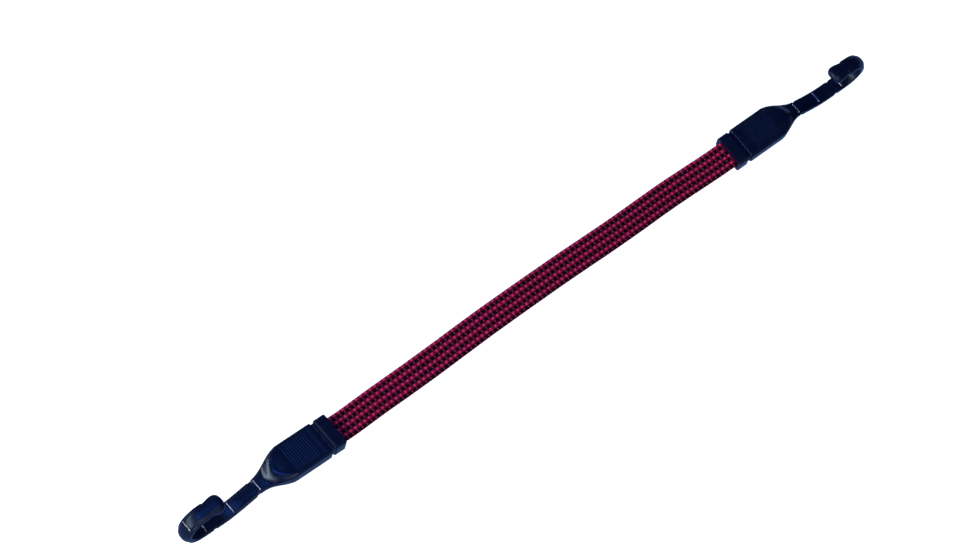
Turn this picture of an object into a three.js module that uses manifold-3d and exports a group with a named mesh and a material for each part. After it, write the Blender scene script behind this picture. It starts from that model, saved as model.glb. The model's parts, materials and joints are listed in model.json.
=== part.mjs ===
// Flat bungee cord: a woven elastic strap held between two moulded hooks with steel cores.
// Millimetres, +Z up. The cord lies along X and the origin is on the resting surface, under its middle.
import * as THREE from 'three';
import { mergeVertices } from 'three/addons/utils/BufferGeometryUtils.js';
import Module from 'manifold-3d';

const wasm = await Module();
wasm.setup();
const { lerp, smoothstep, degToRad } = THREE.MathUtils;

// Fits, and how finely round shapes are divided
const SEAT_GAP = 0.3;
const ROUND_SIDES = 20;
const CURVE_STEPS = 10;

// Strap: a woven sheath over parallel rubber strands
const STRAP_WIDTH = 21;
const STRAP_THICKNESS = 3.4;
const STRAP_EDGE_RADIUS = 1.5;
const SHEATH_WALL = 0.45;
const STRAND_COUNT = 8;
const STRAND_SIDES = 8;
const STRAP_TAIL = 32;
const STRAP_STEPS = 26;

// Middle line of the free strap, from mouth to mouth: it leaves each collar and settles on the surface
const STRAP_ROUTE = [
  [-179.5, 0.52, 7.2],
  [-168, 0.54, 5.9],
  [-154, 1.1, 4.55],
  [-139, 1.6, 3.4],
  [-122, 1.8, 2.55],
  [-100, 2.1, 2],
  [-75, 2.65, 1.8],
  [-45, 3.3, 1.78],
  [-10, 3.45, 1.78],
  [25, 3.3, 1.78],
  [55, 2.75, 1.78],
  [80, 2.4, 1.82],
  [102, 2.45, 1.95],
  [122, 2.4, 2.4],
  [139, 1.9, 3.1],
  [154, 1.2, 4.05],
  [168, 0.56, 5.2],
  [179.5, 0.22, 6.4],
];

// The near fitting lies tipped a little about its own length, and the strap loses that twist beyond its mouth
const NEAR_ROLL = 4.5;
const TWIST_LENGTH = 90;

// Mouth collar: outer band, waisted neck and two tongues that enter the paddle
const COLLAR_LENGTH = 8.2;
const COLLAR_SIDE_WALL = 2;
const COLLAR_FACE_WALL = 4.5;
const COLLAR_CORNER = 2.4;
const COLLAR_BEVEL = 0.5;
const NECK_LENGTH = 3.4;
const NECK_SIDE_WALL = 1;
const NECK_FACE_WALL = 2.8;
const NECK_CORNER = 1.6;
const TONGUE_LENGTH = 7.4;
const TONGUE_WIDTH = 15;
const TONGUE_THICKNESS = 1.35;

// Hook shell: hollow paddle, cranked shank, round bend and a return leg with a bead
const PADDLE_LENGTH = 28.4;
const PADDLE_SIDE_WALL = 1.5;
const PADDLE_ROOF = 1.6;
const PADDLE_CORNER = 2;
const MOUTH_CHAMFER = 1.2;
const STRAP_SIDE_ROOM = 1.2;
const TAPER_LENGTH = 25;
const THINNING_LEAD = 8;
const THINNING_LENGTH = 12;
const CRANK_LEAD = 3;
const CRANK_LENGTH = 52.5;
const CRANK_DEPTH = 15;
const SHANK_WIDTH = 11.5;
const SHANK_THICKNESS = 4.8;
const SHANK_CORNER = 1.7;
const LOWER_LEG_LENGTH = 15.5;
const HOOK_GAPE = 20.7;
const BEND_FACET = 12;
const BEND_BULGE = 0.8;
const BEND_CORNER = 2.6;
const RETURN_FLARE = 6;
const RETURN_LENGTH = 17.2;
const LEG_WIDTH = 12;
const BEAD_LENGTH = 12.7;
const BEAD_TIP = 5.7;
const BEAD_WIDTH = 13.4;
const BEAD_HEIGHT = 7;
const BEAD_CORNER = 2.6;
const BEAD_WAIST = 0.6;

// Thumb panel on the paddle: a shallow recess with cross grooves
const PANEL_RIM = 2.2;
const PANEL_DEPTH = 0.4;
const PANEL_MARGIN = 2.6;
const PANEL_END_LENGTH = 12;
const RIB_COUNT = 13;
const RIB_PITCH = 1.9;
const RIB_GROOVE = 0.95;
const RIB_DEPTH = 0.5;
const RIB_MARGIN = 5;

// Narrow slots with the steel's ridges in them, and the small notches in the shank's sides
const SLOT_WIDTH = 1.4;
const SLOT_ONE_LEAD = -1;
const SLOT_TWO_LEAD = 20.2;
const SLOT_THREE_LEAD = 43;
const CROWN_SLOT_ANGLE = 34;
const NOTCH_LENGTH = 3;
const NOTCH_DEPTH = 0.5;
const NOTCH_ONE_LEAD = 1.6;
const NOTCH_TWO_LEAD = 36.4;

// Steel core, the crimp on the strap's end and the rivet that joins them
const CORE_WIDTH = 9;
const CORE_THICKNESS = 2.4;
const CORE_TIP = 9;
const CORE_SETBACK = 1;
const RIDGE_SETBACK = 0.1;
const CRIMP_LENGTH = 11;
const CRIMP_PLATE = 0.9;
const LUG_WIDTH = 9;
const LUG_THICKNESS = 0.8;
const RIVET_OFFSET = 6.3;
const RIVET_RADIUS = 1.4;
const RIVET_HEAD_RADIUS = 2.4;
const RIVET_HEAD_HEIGHT = 0.6;
const CHAMBER_WIDTH = 13;
const CHAMBER_ROOM = 2.2;

// Sizes that follow from the values above
const slotWidth = STRAP_WIDTH + 2 * SEAT_GAP;
const slotHeight = STRAP_THICKNESS + 2 * SEAT_GAP;
const collarWidth = slotWidth + 2 * COLLAR_SIDE_WALL;
const collarHeight = slotHeight + 2 * COLLAR_FACE_WALL;
const pocketWidth = STRAP_WIDTH + 2 * STRAP_SIDE_ROOM;
const pocketHeight = slotHeight + 2 * TONGUE_THICKNESS + 2 * SEAT_GAP;
const paddleWidth = pocketWidth + 2 * PADDLE_SIDE_WALL;
const paddleHeight = pocketHeight + 2 * PADDLE_ROOF;
const mouth = COLLAR_LENGTH + NECK_LENGTH;
const taperStart = mouth + PADDLE_LENGTH;
const taperEnd = taperStart + TAPER_LENGTH;
const thinningStart = taperStart + THINNING_LEAD;
const thinningEnd = thinningStart + THINNING_LENGTH;
const crankStart = taperStart + CRANK_LEAD;
const crankEnd = crankStart + CRANK_LENGTH;
const bendRadius = (HOOK_GAPE + SHANK_THICKNESS) / 2;
const bendCentre = new THREE.Vector2(crankEnd + LOWER_LEG_LENGTH, bendRadius - CRANK_DEPTH);
const crimpEnd = STRAP_TAIL + SEAT_GAP + CRIMP_PLATE;
const crimpStart = crimpEnd - CRIMP_LENGTH;
const rivetPlace = crimpEnd + RIVET_OFFSET;
const lugEnd = rivetPlace + LUG_WIDTH / 2;
const lugBottom = CORE_THICKNESS / 2 + SEAT_GAP;

// Materials
const shellPlastic = new THREE.MeshStandardMaterial({ color: 0x0b0f1c, roughness: 0.42, metalness: 0 });
const collarPlastic = new THREE.MeshStandardMaterial({ color: 0x0c1224, roughness: 0.5, metalness: 0 });
const steel = new THREE.MeshStandardMaterial({ color: 0xc9ccd2, roughness: 0.3, metalness: 1 });
const platedSteel = new THREE.MeshStandardMaterial({ color: 0x9a9690, roughness: 0.4, metalness: 1 });
const weave = new THREE.MeshStandardMaterial({ color: 0xa3123c, roughness: 0.85, metalness: 0 });
const rubber = new THREE.MeshStandardMaterial({ color: 0xcdb98e, roughness: 0.7, metalness: 0 });

// Turns a closed geometry into a solid that can be joined and cut.
function solidOf(geometry) {
  const bare = geometry.clone();
  bare.deleteAttribute('normal');
  bare.deleteAttribute('uv');
  const merged = mergeVertices(bare);
  const vertProperties = Float32Array.from(merged.attributes.position.array);
  const triVerts = Uint32Array.from(merged.index.array);
  return new wasm.Manifold(new wasm.Mesh({ numProp: 3, vertProperties, triVerts }));
}

// Turns a solid back into a geometry.
function geometryOf(solid) {
  const mesh = solid.getMesh();
  const geometry = new THREE.BufferGeometry();
  geometry.setAttribute('position', new THREE.BufferAttribute(Float32Array.from(mesh.vertProperties), 3));
  geometry.setIndex(new THREE.BufferAttribute(Uint32Array.from(mesh.triVerts), 1));
  geometry.computeVertexNormals();
  return geometry;
}

// Skins a row of rings that have the same number of points, and closes both ends with flat caps.
function loft(rings) {
  const count = rings[0].length;
  const indices = [];
  for (let ring = 0; ring + 1 < rings.length; ring += 1) {
    for (let k = 0; k < count; k += 1) {
      const a = ring * count + k;
      const b = ring * count + ((k + 1) % count);
      indices.push(a, b, b + count);
      indices.push(a, b + count, a + count);
    }
  }
  const last = (rings.length - 1) * count;
  for (let k = 1; k + 1 < count; k += 1) {
    indices.push(0, k + 1, k);
    indices.push(last, last + k, last + k + 1);
  }
  const geometry = new THREE.BufferGeometry();
  const positions = rings.flat().flatMap((point) => point.toArray());
  geometry.setAttribute('position', new THREE.Float32BufferAttribute(positions, 3));
  geometry.setIndex(indices);
  return geometry;
}

// Corner points of a rectangle with round corners, anticlockwise, as [across, up] pairs.
function roundedRectangle(width, height, radius, steps) {
  const points = [];
  const corners = [[1, -1, -90], [1, 1, 0], [-1, 1, 90], [-1, -1, 180]];
  for (const [sideways, upward, start] of corners) {
    for (let k = 0; k <= steps; k += 1) {
      const angle = degToRad(start + (90 * k) / steps);
      const across = sideways * (width / 2 - radius) + radius * Math.cos(angle);
      const up = upward * (height / 2 - radius) + radius * Math.sin(angle);
      points.push([across, up]);
    }
  }
  return points;
}

// The same outline as a shape for an extrusion.
function roundedShape(width, height, radius, steps) {
  const points = roundedRectangle(width, height, radius, steps);
  return new THREE.Shape(points.map(([across, up]) => new THREE.Vector2(across, up)));
}

// Extrudes a cross section outwards along the fitting, from one station to another.
function alongFitting(shape, from, to, bevel = 0) {
  const geometry = new THREE.ExtrudeGeometry(shape, {
    depth: to - from - 2 * bevel,
    bevelEnabled: bevel > 0,
    bevelThickness: bevel,
    bevelSize: bevel,
    bevelOffset: -bevel,
    bevelSegments: 1,
  });
  const across = new THREE.Vector3(0, 1, 0);
  const up = new THREE.Vector3(0, 0, 1);
  const outward = new THREE.Vector3(1, 0, 0);
  geometry.applyMatrix4(new THREE.Matrix4().makeBasis(across, up, outward));
  return geometry.translate(from + bevel, 0, 0);
}

// A box between two stations of the fitting, centred across it.
function blockAlong(from, to, width, bottom, top) {
  const box = new THREE.BoxGeometry(to - from, width, top - bottom);
  return box.translate((from + to) / 2, 0, (bottom + top) / 2);
}

// Middle line of the hook, as stations with a place, a heading in the XZ plane and a cross section

function bodyStation(along) {
  const share = THREE.MathUtils.clamp((along - crankStart) / CRANK_LENGTH, 0, 1);
  const slope = (-CRANK_DEPTH * 6 * share * (1 - share)) / CRANK_LENGTH;
  return {
    x: along,
    z: -CRANK_DEPTH * smoothstep(along, crankStart, crankEnd),
    heading: Math.atan(slope),
    width: lerp(paddleWidth, SHANK_WIDTH, smoothstep(along, taperStart, taperEnd)),
    height: lerp(paddleHeight, SHANK_THICKNESS, smoothstep(along, thinningStart, thinningEnd)),
    corner: lerp(PADDLE_CORNER, SHANK_CORNER, smoothstep(along, taperStart, taperEnd)),
  };
}

function bendStation(degrees) {
  const angle = degToRad(degrees);
  return {
    x: bendCentre.x + bendRadius * Math.cos(angle),
    z: bendCentre.y + bendRadius * Math.sin(angle),
    heading: angle + Math.PI / 2,
  };
}

// A station of the bend's skin, which widens towards the return leg and bulges on its outside.
function skinStation(degrees) {
  const station = bendStation(degrees);
  const angle = degToRad(degrees);
  const share = Math.cos(angle) ** 2;
  const bulge = BEND_BULGE * share;
  return {
    ...station,
    x: station.x + (bulge / 2) * Math.cos(angle),
    z: station.z + (bulge / 2) * Math.sin(angle),
    width: lerp(SHANK_WIDTH, LEG_WIDTH, smoothstep(degrees, -90, 0)),
    height: SHANK_THICKNESS + bulge,
    corner: lerp(SHANK_CORNER, BEND_CORNER, share),
  };
}

const bendEndAngle = 90 - RETURN_FLARE;

// A station of the return leg; inset moves it off the middle line, towards the hook's inside.
function legStation(distance, inset = 0) {
  const start = bendStation(bendEndAngle);
  const sine = Math.sin(start.heading);
  const cosine = Math.cos(start.heading);
  return {
    ...start,
    x: start.x + distance * cosine - inset * sine,
    z: start.z + distance * sine + inset * cosine,
  };
}

function crankStations() {
  const steps = 20;
  const stations = [];
  for (let k = 0; k <= steps; k += 1) {
    stations.push(bodyStation(lerp(taperStart, crankEnd, k / steps)));
  }
  return stations;
}

function alongBend(stationAt) {
  const stations = [];
  for (let degrees = -90; degrees < bendEndAngle; degrees += BEND_FACET) {
    stations.push(stationAt(degrees));
  }
  stations.push(stationAt(bendEndAngle));
  return stations;
}

// The bead swells inwards from a slight waist to two small ears, and its tip is rounded like a thumb.
function beadStations() {
  const waist = RETURN_LENGTH - BEAD_LENGTH;
  const ears = RETURN_LENGTH - BEAD_TIP;
  const inset = (BEAD_HEIGHT - SHANK_THICKNESS) / 2;
  const tipSteps = 5;
  const lastTurn = 78;
  const leg = { height: SHANK_THICKNESS, corner: SHANK_CORNER };
  const stations = [
    { ...legStation(waist - BEAD_WAIST), ...leg, width: LEG_WIDTH },
    { ...legStation(waist), ...leg, width: LEG_WIDTH - 2 * BEAD_WAIST },
  ];
  for (let k = 0; k <= tipSteps; k += 1) {
    const turn = degToRad((lastTurn * k) / tipSteps);
    const shrink = Math.cos(turn);
    stations.push({
      ...legStation(ears + BEAD_TIP * Math.sin(turn), inset),
      width: BEAD_WIDTH * shrink,
      height: BEAD_HEIGHT * shrink,
      corner: BEAD_CORNER * shrink,
    });
  }
  return stations;
}

// Places a flat outline square to the middle line at a station.
function ringAt(station, outline) {
  const sine = Math.sin(station.heading);
  const cosine = Math.cos(station.heading);
  return outline.map(([across, up]) => (
    new THREE.Vector3(station.x - up * sine, across, station.z + up * cosine)
  ));
}

// How far a rounded cross section reaches below its centre when it is tipped sideways.
function reachBelow(width, height, corner, roll) {
  return (width / 2 - corner) * Math.sin(roll) + (height / 2 - corner) * Math.cos(roll) + corner;
}

// A fitting rests on its collar's lower edge and on the lowest part of its shank, so it leans.
function restingPose(roll) {
  const collarReach = reachBelow(collarWidth, collarHeight, COLLAR_CORNER, roll);
  const slopes = [...crankStations(), ...alongBend(skinStation)].map((station) => {
    const reach = reachBelow(station.width, station.height, station.corner, roll);
    const [under] = ringAt(station, [[0, -reach]]);
    return Math.atan2(-collarReach - under.z, under.x - COLLAR_BEVEL);
  });
  const lean = Math.max(...slopes);
  const mouthHeight = collarReach * Math.cos(lean) - COLLAR_BEVEL * Math.sin(lean);
  return { roll, lean, mouthHeight };
}

const nearPose = restingPose(degToRad(NEAR_ROLL));
const farPose = restingPose(0);
const poseAt = (end) => (end < 0 ? nearPose : farPose);

// Places a box on the middle line: its sides run along the line, across it and towards the hook's inside.
function boxAtStation(station, length, width, inner, outer, sideways = 0) {
  const box = new THREE.BoxGeometry(length, width, Math.abs(outer - inner));
  box.translate(0, sideways, (inner + outer) / 2);
  box.rotateY(-station.heading);
  return box.translate(station.x, 0, station.z);
}

// Hook shell

function shellSkin() {
  const cornerSteps = 4;
  const lip = bodyStation(mouth);
  lip.width -= MOUTH_CHAMFER;
  lip.height -= MOUTH_CHAMFER;
  const stations = [
    lip,
    bodyStation(mouth + MOUTH_CHAMFER),
    ...crankStations(),
    ...alongBend(skinStation),
    ...beadStations(),
  ];
  return loft(stations.map((station) => (
    ringAt(station, roundedRectangle(station.width, station.height, station.corner, cornerSteps))
  )));
}

// The steel strip's path with room round it; the same function makes the strip and its channel.
function coreSweep(room) {
  const start = crimpEnd + CORE_SETBACK - room;
  const stations = [
    bodyStation(start),
    ...crankStations(),
    ...alongBend(bendStation),
    legStation(CORE_TIP + room),
  ];
  const width = CORE_WIDTH + 2 * room;
  const height = CORE_THICKNESS + 2 * room;
  const corners = [[1, -1], [1, 1], [-1, 1], [-1, -1]];
  const outline = corners.map(([across, up]) => [(across * width) / 2, (up * height) / 2]);
  return loft(stations.map((station) => ringAt(station, outline)));
}

function thumbPanel() {
  const start = mouth + PANEL_MARGIN;
  const straightEnd = taperStart;
  const halfWidth = paddleWidth / 2 - PANEL_RIM;
  const panel = new THREE.Shape();
  panel.moveTo(start, -halfWidth);
  panel.lineTo(straightEnd, -halfWidth);
  panel.absellipse(straightEnd, 0, PANEL_END_LENGTH, halfWidth, -Math.PI / 2, Math.PI / 2, false);
  panel.lineTo(start, halfWidth);
  panel.closePath();
  const settings = { depth: PADDLE_ROOF, bevelEnabled: false, curveSegments: CURVE_STEPS };
  const recess = new THREE.ExtrudeGeometry(panel, settings);
  return recess.translate(0, 0, paddleHeight / 2 - PANEL_DEPTH);
}

function ribGrooves() {
  const floor = paddleHeight / 2 - PANEL_DEPTH - RIB_DEPTH;
  const top = paddleHeight / 2 + PADDLE_ROOF;
  const grooves = [];
  for (let k = 0; k < RIB_COUNT; k += 1) {
    const place = mouth + RIB_MARGIN + k * RIB_PITCH;
    const width = bodyStation(place).width - 2 * PANEL_RIM - 2 * RIB_DEPTH;
    grooves.push(blockAlong(place - RIB_GROOVE / 2, place + RIB_GROOVE / 2, width, floor, top));
  }
  return grooves;
}

// Where the slots stand: three on the shank's upper face, and one on the outside of the bend.
function slotStations() {
  const places = [SLOT_ONE_LEAD, SLOT_TWO_LEAD, SLOT_THREE_LEAD].map((lead) => (
    { station: bodyStation(taperEnd + lead), side: 1 }
  ));
  return [...places, { station: bendStation(CROWN_SLOT_ANGLE), side: -1 }];
}

function coreSlots() {
  const surface = SHANK_THICKNESS / 2 + SLOT_WIDTH;
  const depth = CORE_THICKNESS / 2;
  return slotStations().map(({ station, side }) => (
    boxAtStation(station, SLOT_WIDTH, CORE_WIDTH, side * depth, side * surface)
  ));
}

function sideNotches() {
  const places = [taperEnd + NOTCH_ONE_LEAD, taperEnd + NOTCH_TWO_LEAD];
  const notches = [];
  for (const place of places) {
    for (const side of [-1, 1]) {
      const station = bodyStation(place);
      const sideways = (side * station.width) / 2;
      const width = 2 * NOTCH_DEPTH;
      notches.push(boxAtStation(station, NOTCH_LENGTH, width, -SHANK_THICKNESS, SHANK_THICKNESS, sideways));
    }
  }
  return notches;
}

function hookShell() {
  const pocketEnd = crimpEnd + CHAMBER_ROOM;
  const chamberEnd = lugEnd + CHAMBER_ROOM;
  const halfHeight = pocketHeight / 2;
  const pocket = blockAlong(mouth - SEAT_GAP, pocketEnd, pocketWidth, -halfHeight, halfHeight);
  const chamber = blockAlong(crimpEnd, chamberEnd, CHAMBER_WIDTH, -halfHeight, halfHeight);
  const cuts = [
    pocket,
    chamber,
    coreSweep(SEAT_GAP),
    thumbPanel(),
    ...ribGrooves(),
    ...coreSlots(),
    ...sideNotches(),
  ];
  let shell = solidOf(shellSkin());
  for (const cut of cuts) {
    shell = shell.subtract(solidOf(cut));
  }
  return geometryOf(shell);
}

// A round-topped ridge across the steel, which stands in a slot of the shell almost flush with its surface.
function coreRidge({ station, side }) {
  const radius = SLOT_WIDTH / 2 - SEAT_GAP;
  const length = CORE_WIDTH - 2 * SEAT_GAP;
  const shoulder = SHANK_THICKNESS / 2 - RIDGE_SETBACK - radius;
  const profile = new THREE.Shape();
  profile.moveTo(-radius, 0);
  profile.lineTo(radius, 0);
  profile.absarc(0, shoulder, radius, 0, Math.PI, false);
  profile.closePath();
  const settings = { depth: length, bevelEnabled: false, curveSegments: CURVE_STEPS };
  const ridge = new THREE.ExtrudeGeometry(profile, settings);
  ridge.translate(0, 0, -length / 2);
  ridge.rotateX(Math.PI / 2);
  ridge.rotateY(side < 0 ? Math.PI : 0);
  ridge.rotateY(-station.heading);
  return ridge.translate(station.x, 0, station.z);
}

// Steel core with its ridges and the hole for its rivet
function steelCore() {
  const radius = RIVET_RADIUS + SEAT_GAP;
  const hole = new THREE.CylinderGeometry(radius, radius, 2 * CORE_THICKNESS, ROUND_SIDES);
  hole.rotateX(Math.PI / 2);
  hole.translate(rivetPlace, 0, 0);
  let core = solidOf(coreSweep(0)).subtract(solidOf(hole));
  for (const place of slotStations()) {
    core = core.add(solidOf(coreRidge(place)));
  }
  return geometryOf(core);
}

// Crimp: a folded plate over the strap's end, with a lug that overlaps the steel core
function strapCrimp() {
  const outerHeight = slotHeight + 2 * CRIMP_PLATE;
  const fold = new THREE.Shape();
  fold.moveTo(crimpStart, -outerHeight / 2);
  fold.lineTo(crimpEnd - CRIMP_PLATE, -outerHeight / 2);
  fold.lineTo(crimpEnd, -outerHeight / 2 + CRIMP_PLATE);
  fold.lineTo(crimpEnd, outerHeight / 2 - CRIMP_PLATE);
  fold.lineTo(crimpEnd - CRIMP_PLATE, outerHeight / 2);
  fold.lineTo(crimpStart, outerHeight / 2);
  fold.lineTo(crimpStart, slotHeight / 2);
  fold.lineTo(crimpEnd - CRIMP_PLATE, slotHeight / 2);
  fold.lineTo(crimpEnd - CRIMP_PLATE, -slotHeight / 2);
  fold.lineTo(crimpStart, -slotHeight / 2);
  fold.closePath();
  const plate = new THREE.ExtrudeGeometry(fold, { depth: STRAP_WIDTH, bevelEnabled: false });
  const outward = new THREE.Vector3(1, 0, 0);
  const up = new THREE.Vector3(0, 0, 1);
  const sideways = new THREE.Vector3(0, -1, 0);
  plate.applyMatrix4(new THREE.Matrix4().makeBasis(outward, up, sideways));
  plate.translate(0, STRAP_WIDTH / 2, 0);

  const tab = new THREE.Shape();
  tab.moveTo(crimpEnd - CRIMP_PLATE / 2, -LUG_WIDTH / 2);
  tab.lineTo(rivetPlace, -LUG_WIDTH / 2);
  tab.absarc(rivetPlace, 0, LUG_WIDTH / 2, -Math.PI / 2, Math.PI / 2, false);
  tab.lineTo(crimpEnd - CRIMP_PLATE / 2, LUG_WIDTH / 2);
  tab.closePath();
  const hole = new THREE.Path();
  hole.absarc(rivetPlace, 0, RIVET_RADIUS + SEAT_GAP, 0, 2 * Math.PI, true);
  tab.holes.push(hole);
  const settings = { depth: LUG_THICKNESS, bevelEnabled: false, curveSegments: CURVE_STEPS };
  const lug = new THREE.ExtrudeGeometry(tab, settings);
  lug.translate(0, 0, lugBottom);
  return geometryOf(solidOf(plate).add(solidOf(lug)));
}

// Rivet through the lug and the core, with a flat head below and a set head above
function coreRivet() {
  const lowHead = -CORE_THICKNESS / 2 - SEAT_GAP;
  const highHead = lugBottom + LUG_THICKNESS + SEAT_GAP;
  const edge = RIVET_HEAD_HEIGHT / 3;
  const profile = [
    [0, lowHead - RIVET_HEAD_HEIGHT],
    [RIVET_HEAD_RADIUS - edge, lowHead - RIVET_HEAD_HEIGHT],
    [RIVET_HEAD_RADIUS, lowHead - RIVET_HEAD_HEIGHT + edge],
    [RIVET_HEAD_RADIUS, lowHead],
    [RIVET_RADIUS, lowHead],
    [RIVET_RADIUS, highHead],
    [RIVET_HEAD_RADIUS, highHead],
    [RIVET_HEAD_RADIUS, highHead + edge],
    [RIVET_HEAD_RADIUS - 2 * edge, highHead + RIVET_HEAD_HEIGHT],
    [0, highHead + RIVET_HEAD_HEIGHT],
  ];
  const turned = profile.map(([radius, height]) => new THREE.Vector2(radius, height));
  const rivet = new THREE.LatheGeometry(turned, ROUND_SIDES);
  rivet.rotateX(Math.PI / 2);
  rivet.translate(rivetPlace, 0, 0);
  return geometryOf(solidOf(rivet));
}

// Mouth collar: the band, its neck and the two tongues, with the strap's slot through the middle
function mouthCollar() {
  const neckWidth = slotWidth + 2 * NECK_SIDE_WALL;
  const neckHeight = slotHeight + 2 * NECK_FACE_WALL;
  const neckEnd = mouth - SEAT_GAP;
  const tongueEnd = mouth + TONGUE_LENGTH;
  const cornerSteps = 4;
  const bandShape = roundedShape(collarWidth, collarHeight, COLLAR_CORNER, cornerSteps);
  const band = alongFitting(bandShape, 0, COLLAR_LENGTH, COLLAR_BEVEL);
  const neckShape = roundedShape(neckWidth, neckHeight, NECK_CORNER, cornerSteps);
  const neck = alongFitting(neckShape, COLLAR_LENGTH / 2, neckEnd);
  const tongueTop = slotHeight / 2 + TONGUE_THICKNESS;
  const upperTongue = blockAlong(COLLAR_LENGTH, tongueEnd, TONGUE_WIDTH, slotHeight / 2, tongueTop);
  const lowerTongue = blockAlong(COLLAR_LENGTH, tongueEnd, TONGUE_WIDTH, -tongueTop, -slotHeight / 2);
  const strapSlot = blockAlong(-COLLAR_LENGTH, 2 * tongueEnd, slotWidth, -slotHeight / 2, slotHeight / 2);
  const joined = solidOf(band).add(solidOf(neck)).add(solidOf(upperTongue)).add(solidOf(lowerTongue));
  return geometryOf(joined.subtract(solidOf(strapSlot)));
}

// Strap

// Where the strap enters a fitting: the first or last point of its route, at the resting fitting's height.
function mouthPoint(end) {
  const [x, y] = STRAP_ROUTE.at(end < 0 ? 0 : -1);
  return new THREE.Vector3(x, y, poseAt(end).mouthHeight);
}

// The way a fitting points, seen from above: it carries on the way the strap enters it.
function mouthHeading(end) {
  const neighbour = new THREE.Vector3(...STRAP_ROUTE.at(end < 0 ? 1 : -2));
  const outward = mouthPoint(end).sub(neighbour);
  return Math.atan2(outward.y, outward.x);
}

// The strap's middle line from one crimp to the other, straight inside the fittings.
function strapCurve(tail) {
  const reach = (end, along) => {
    const { lean } = poseAt(end);
    const step = new THREE.Vector3(along * Math.cos(lean), 0, along * Math.sin(lean));
    step.applyAxisAngle(new THREE.Vector3(0, 0, 1), mouthHeading(end));
    return mouthPoint(end).add(step);
  };
  const inside = [tail, tail / 2, 0];
  const free = STRAP_ROUTE.slice(1, -1).map((point) => new THREE.Vector3(...point));
  const near = inside.map((along) => reach(-1, along));
  const far = inside.map((along) => reach(1, along)).reverse();
  return new THREE.CatmullRomCurve3([...near, ...free, ...far]);
}

// Sweeps an outline along the strap, level across it but for the near fitting's twist; sideways moves the outline.
function sweepStrap(outline, tail, sideways = 0) {
  const curve = strapCurve(tail);
  const length = curve.getLength();
  const up = new THREE.Vector3(0, 0, 1);
  const rings = [];
  for (let k = 0; k <= STRAP_STEPS; k += 1) {
    const share = k / STRAP_STEPS;
    const place = curve.getPointAt(share);
    const forward = curve.getTangentAt(share);
    const across = new THREE.Vector3().crossVectors(up, forward).normalize();
    const untwisted = smoothstep(share * length - tail, 0, TWIST_LENGTH);
    across.applyAxisAngle(forward, -nearPose.roll * (1 - untwisted));
    const normal = new THREE.Vector3().crossVectors(forward, across);
    rings.push(outline.map(([side, height]) => (
      place.clone().addScaledVector(across, side + sideways).addScaledVector(normal, height)
    )));
  }
  return loft(rings);
}

function strapSheath() {
  const cornerSteps = 2;
  const outer = roundedRectangle(STRAP_WIDTH, STRAP_THICKNESS, STRAP_EDGE_RADIUS, cornerSteps);
  const innerWidth = STRAP_WIDTH - 2 * SHEATH_WALL;
  const innerHeight = STRAP_THICKNESS - 2 * SHEATH_WALL;
  const inner = roundedRectangle(innerWidth, innerHeight, STRAP_EDGE_RADIUS - SHEATH_WALL, cornerSteps);
  const skin = solidOf(sweepStrap(outer, STRAP_TAIL));
  return geometryOf(skin.subtract(solidOf(sweepStrap(inner, STRAP_TAIL + SHEATH_WALL))));
}

function rubberStrand(index) {
  const radius = STRAP_THICKNESS / 2 - SHEATH_WALL - SEAT_GAP;
  const span = STRAP_WIDTH - 2 * (SHEATH_WALL + SEAT_GAP + radius);
  const sideways = lerp(-span / 2, span / 2, index / (STRAND_COUNT - 1));
  const outline = [];
  for (let k = 0; k < STRAND_SIDES; k += 1) {
    const angle = (2 * Math.PI * k) / STRAND_SIDES;
    outline.push([radius * Math.cos(angle), radius * Math.sin(angle)]);
  }
  return sweepStrap(outline, STRAP_TAIL - SHEATH_WALL, sideways);
}

// Assembly

function namedMesh(name, geometry, material) {
  const mesh = new THREE.Mesh(geometry, material);
  mesh.name = name;
  return mesh;
}

const fittingPieces = [
  ['hook_shell', hookShell(), shellPlastic],
  ['mouth_collar', mouthCollar(), collarPlastic],
  ['steel_core', steelCore(), steel],
  ['strap_crimp', strapCrimp(), platedSteel],
  ['core_rivet', coreRivet(), platedSteel],
];

// A fitting at one end of the strap: it faces outwards and leans so that its hook touches the surface.
function fitting(end, letter) {
  const { roll, lean } = poseAt(end);
  const rolled = new THREE.Group();
  rolled.rotation.x = roll;
  for (const [name, geometry, material] of fittingPieces) {
    rolled.add(namedMesh(`${name}_${letter}`, geometry, material));
  }
  const leaning = new THREE.Group();
  leaning.rotation.y = -lean;
  leaning.add(rolled);
  const placed = new THREE.Group();
  placed.position.copy(mouthPoint(end));
  placed.rotation.z = mouthHeading(end);
  placed.add(leaning);
  return placed;
}

const bungeeCord = new THREE.Group();
bungeeCord.add(fitting(-1, 'a'));
bungeeCord.add(fitting(1, 'b'));
bungeeCord.add(namedMesh('strap_sheath', strapSheath(), weave));
for (let index = 0; index < STRAND_COUNT; index += 1) {
  bungeeCord.add(namedMesh(`rubber_strand_${index + 1}`, rubberStrand(index), rubber));
}

export default bungeeCord;
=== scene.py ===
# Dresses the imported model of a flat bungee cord: woven strap, moulded hooks, steel and a plain studio.
import json
import math

import bpy
import numpy as np
from bpy.props import FloatProperty, FloatVectorProperty, IntProperty, PointerProperty
from mathutils import Matrix, Vector


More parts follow.
